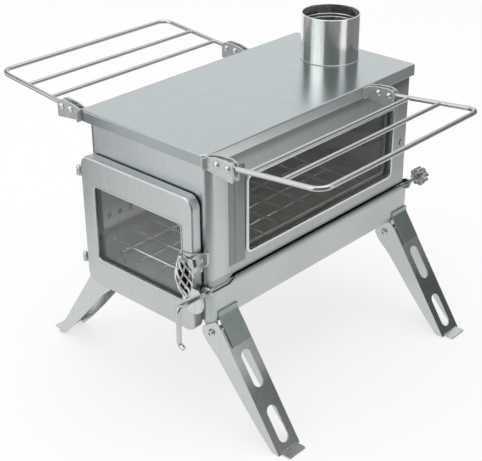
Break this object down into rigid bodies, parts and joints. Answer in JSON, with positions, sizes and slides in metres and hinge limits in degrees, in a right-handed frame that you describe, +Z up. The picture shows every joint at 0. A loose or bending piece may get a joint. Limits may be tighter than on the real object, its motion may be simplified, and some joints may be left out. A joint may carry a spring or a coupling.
{
  "type": "tent wood stove",
  "caption": "Folding tent wood stove in stainless sheet: glazed door and side, flue collar, wire side shelves, splayed folding legs and an air control rod.",
  "frame": {"origin": "on the floor, below the middle of the whole part", "axes": "+X towards the glazed side, -Y towards the fire door, +Z up"},
  "size_m": [0.4324, 0.394, 0.346],
  "materials": {
    "lid_steel": "satin, finely brushed",
    "body_steel": "satin, finely brushed",
    "door_steel": "satin, finely brushed",
    "polished_steel": "polished",
    "inner_steel": "dull, heat tinted",
    "wire_steel": "bright wire",
    "leg_steel": "satin",
    "glass": "smooth, slightly tinted",
    "rope": "woven glass-fibre rope, sooty"
  },
  "bodies": {
    "base": {"top_plate": "lid_steel", "flue_collar": "polished_steel", "collar_ring": "lid_steel", "body_shell": "body_steel", "front_plate": "body_steel", "base_tray": "body_steel", "sill": "body_steel", "floor_liner": "inner_steel", "left_liner": "inner_steel", "baffle": "inner_steel", "baffle_hangers": "inner_steel", "grate_cross_rods": "inner_steel", "grate_long_rods": "inner_steel", "grate_feet": "inner_steel", "side_window_rim": "body_steel", "side_glass": "glass", "side_gasket": "rope", "side_retainer": "inner_steel", "side_screws": "polished_steel", "hinge_ears": "body_steel", "hinge_pins": "polished_steel", "latch_keeper": "body_steel", "rod_guides": "polished_steel", "rod_shield": "polished_steel", "leg_brackets": "leg_steel", "leg_stops": "leg_steel", "leg_bolts": "polished_steel", "shelf_brackets": "lid_steel", "shelf_pins": "polished_steel"},
    "door": {"door_pan": "door_steel", "door_glass_seal": "rope", "door_glass": "glass", "door_retainer": "inner_steel", "door_studs": "polished_steel", "door_gasket": "rope", "door_knuckles": "door_steel", "latch_bolt": "polished_steel"},
    "latch": {"latch_plate": "door_steel", "latch_cage": "wire_steel"},
    "rod": {"control_rod": "wire_steel", "rod_knob": "polished_steel"},
    "leg_fr": {"leg_front_right": "leg_steel"},
    "leg_rr": {"leg_rear_right": "leg_steel"},
    "leg_fl": {"leg_front_left": "leg_steel"},
    "leg_rl": {"leg_rear_left": "leg_steel"},
    "shelf_r": {"shelf_right": "wire_steel"},
    "shelf_l": {"shelf_left": "wire_steel"}
  },
  "joints": [
    {"name": "door_hinge", "type": "hinge", "parent": "base", "child": "door", "pos_m": [-0.0895, -0.1625, 0.18], "axis": [0, 0, -1], "range_deg": [0, 115]},
    {"name": "latch_pivot", "type": "hinge", "parent": "door", "child": "latch", "pos_m": [0.064, -0.1685, 0.189], "axis": [0, -1, 0], "range_deg": [0, 60]},
    {"name": "rod_turn", "type": "hinge", "parent": "base", "child": "rod", "pos_m": [0.0802, 0.0025, 0.1531], "axis": [0, -1, 0], "range_deg": [0, 90]},
    {"name": "leg_front_right_fold", "type": "hinge", "parent": "base", "child": "leg_fr", "pos_m": [0.0785, -0.134, 0.104], "axis": [0, 1, 0], "range_deg": [0, 65]},
    {"name": "leg_rear_right_fold", "type": "hinge", "parent": "base", "child": "leg_rr", "pos_m": [0.0785, 0.148, 0.104], "axis": [0, 1, 0], "range_deg": [0, 65]},
    {"name": "leg_front_left_fold", "type": "hinge", "parent": "base", "child": "leg_fl", "pos_m": [-0.0785, -0.134, 0.104], "axis": [0, -1, 0], "range_deg": [0, 65]},
    {"name": "leg_rear_left_fold", "type": "hinge", "parent": "base", "child": "leg_rl", "pos_m": [-0.0785, 0.148, 0.104], "axis": [0, -1, 0], "range_deg": [0, 65]},
    {"name": "shelf_right_fold", "type": "hinge", "parent": "base", "child": "shelf_r", "pos_m": [0.112, 0.0025, 0.292], "axis": [0, -1, 0], "range_deg": [0, 150]},
    {"name": "shelf_left_fold", "type": "hinge", "parent": "base", "child": "shelf_l", "pos_m": [-0.112, 0.0025, 0.292], "axis": [0, 1, 0], "range_deg": [0, 150]}
  ]
}
